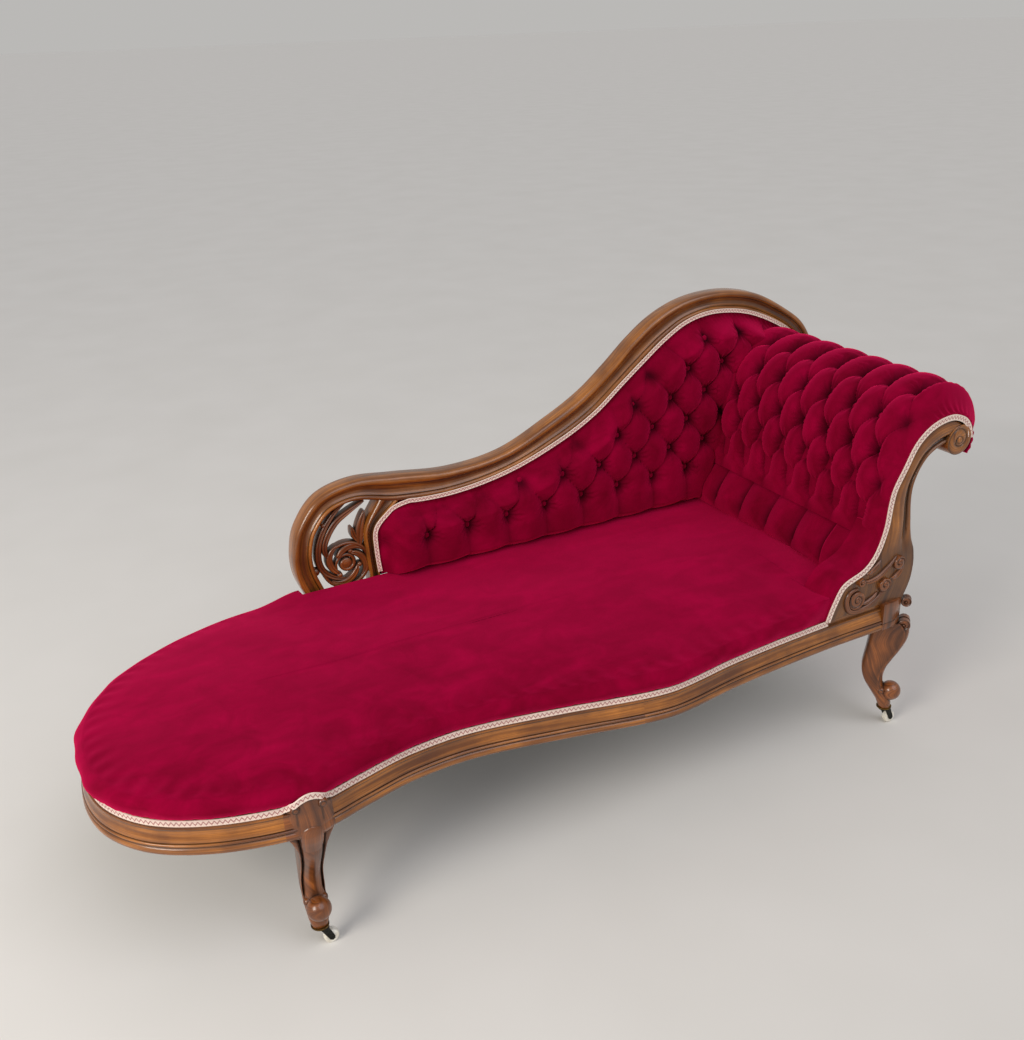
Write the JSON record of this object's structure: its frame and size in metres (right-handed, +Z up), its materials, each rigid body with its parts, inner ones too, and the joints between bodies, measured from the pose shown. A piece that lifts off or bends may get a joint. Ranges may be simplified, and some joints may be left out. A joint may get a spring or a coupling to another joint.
{
  "type": "fainting couch",
  "caption": "Show-wood fainting couch with a sprung seat, swept buttoned back ending in a pierced scroll, buttoned head roll, cabriole legs and castors.",
  "frame": {"origin": "on the floor, under the middle of the couch's length and depth", "axes": "+X along the length towards the raised head end, +Y from the front to the back, +Z up"},
  "size_m": [1.9761, 0.703, 0.9233],
  "materials": {
    "show_wood": "french polished walnut, glossy",
    "carved_wood": "french polished carved walnut, dark in its recesses",
    "frame_wood": "oiled beech, satin",
    "inner_wood": "bare sawn beech, matte",
    "velvet": "crimson cotton velvet, short pile with a sheen",
    "button_velvet": "crimson cotton velvet, stretched over button shells",
    "outside_cover": "crimson cotton velvet, laid flat",
    "gimp": "woven rayon and cotton gimp braid",
    "webbing": "woven jute webbing, matte",
    "hessian": "coarse woven jute hessian, matte",
    "lining": "black dyed cotton lining, matte",
    "spring_steel": "copper-washed drawn spring wire, dull",
    "castor_brass": "cast and turned brass, tarnished",
    "castor_iron": "cast iron, blackened",
    "castor_ceramic": "white glazed pottery, glossy"
  },
  "bodies": {
    "root": {"front_rail_foot": "show_wood", "front_rail_head": "show_wood", "foot_rail_front": "show_wood", "foot_rail_back": "show_wood", "back_rail": "frame_wood", "head_rail": "frame_wood", "cross_strainers": "inner_wood", "corner_blocks": "inner_wood", "front_leg_foot": "show_wood", "front_leg_head": "show_wood", "rear_leg_foot": "show_wood", "rear_leg_head": "show_wood", "castor_plate_ff": "castor_brass", "castor_plate_fh": "castor_brass", "castor_plate_bf": "castor_brass", "castor_plate_bh": "castor_brass", "back_frame": "show_wood", "back_upright": "show_wood", "scroll_carving": "carved_wood", "back_lower_rail": "frame_wood", "back_webbing": "webbing", "back_pad": "velvet", "back_buttons": "button_velvet", "back_gimp": "gimp", "back_outside_cover": "outside_cover", "head_front_post": "show_wood", "post_carving": "carved_wood", "head_rear_post": "frame_wood", "head_stay_rail": "inner_wood", "head_roll_rail": "inner_wood", "head_lip_rail": "inner_wood", "head_webbing": "webbing", "head_pad": "velvet", "lumbar_pad": "velvet", "head_buttons": "button_velvet", "head_gimp": "gimp", "head_outside_cover": "outside_cover", "seat_webbing": "webbing", "seat_springs": "spring_steel", "seat_hessian": "hessian", "seat_pad": "velvet", "seat_gimp": "gimp", "bottom_cloth": "lining"},
    "castor_fork_body_ff": {"castor_fork_ff": "castor_iron", "castor_axle_ff": "castor_brass"},
    "castor_wheel_body_ff": {"castor_wheel_ff": "castor_ceramic"},
    "castor_fork_body_fh": {"castor_fork_fh": "castor_iron", "castor_axle_fh": "castor_brass"},
    "castor_wheel_body_fh": {"castor_wheel_fh": "castor_ceramic"},
    "castor_fork_body_bf": {"castor_fork_bf": "castor_iron", "castor_axle_bf": "castor_brass"},
    "castor_wheel_body_bf": {"castor_wheel_bf": "castor_ceramic"},
    "castor_fork_body_bh": {"castor_fork_bh": "castor_iron", "castor_axle_bh": "castor_brass"},
    "castor_wheel_body_bh": {"castor_wheel_bh": "castor_ceramic"}
  },
  "joints": [
    {"name": "castor_swivel_ff", "type": "hinge", "parent": "root", "child": "castor_fork_body_ff", "pos_m": [-0.654, -0.2875, 0.0442], "axis": [0, 0, 1], "continuous": true},
    {"name": "castor_spin_ff", "type": "hinge", "parent": "castor_fork_body_ff", "child": "castor_wheel_body_ff", "pos_m": [-0.636, -0.2875, 0.0145], "axis": [0, 1, 0], "continuous": true},
    {"name": "castor_swivel_fh", "type": "hinge", "parent": "root", "child": "castor_fork_body_fh", "pos_m": [0.736, -0.2875, 0.0442], "axis": [0, 0, 1], "continuous": true},
    {"name": "castor_spin_fh", "type": "hinge", "parent": "castor_fork_body_fh", "child": "castor_wheel_body_fh", "pos_m": [0.754, -0.2875, 0.0145], "axis": [0, 1, 0], "continuous": true},
    {"name": "castor_swivel_bf", "type": "hinge", "parent": "root", "child": "castor_fork_body_bf", "pos_m": [-0.6096, 0.31855, 0.0442], "axis": [0, 0, 1], "continuous": true},
    {"name": "castor_spin_bf", "type": "hinge", "parent": "castor_fork_body_bf", "child": "castor_wheel_body_bf", "pos_m": [-0.5916, 0.31855, 0.0145], "axis": [0, 1, 0], "continuous": true},
    {"name": "castor_swivel_bh", "type": "hinge", "parent": "root", "child": "castor_fork_body_bh", "pos_m": [0.70741, 0.32628, 0.0442], "axis": [0, 0, 1], "continuous": true},
    {"name": "castor_spin_bh", "type": "hinge", "parent": "castor_fork_body_bh", "child": "castor_wheel_body_bh", "pos_m": [0.72541, 0.32628, 0.0145], "axis": [0, 1, 0], "continuous": true}
  ]
}
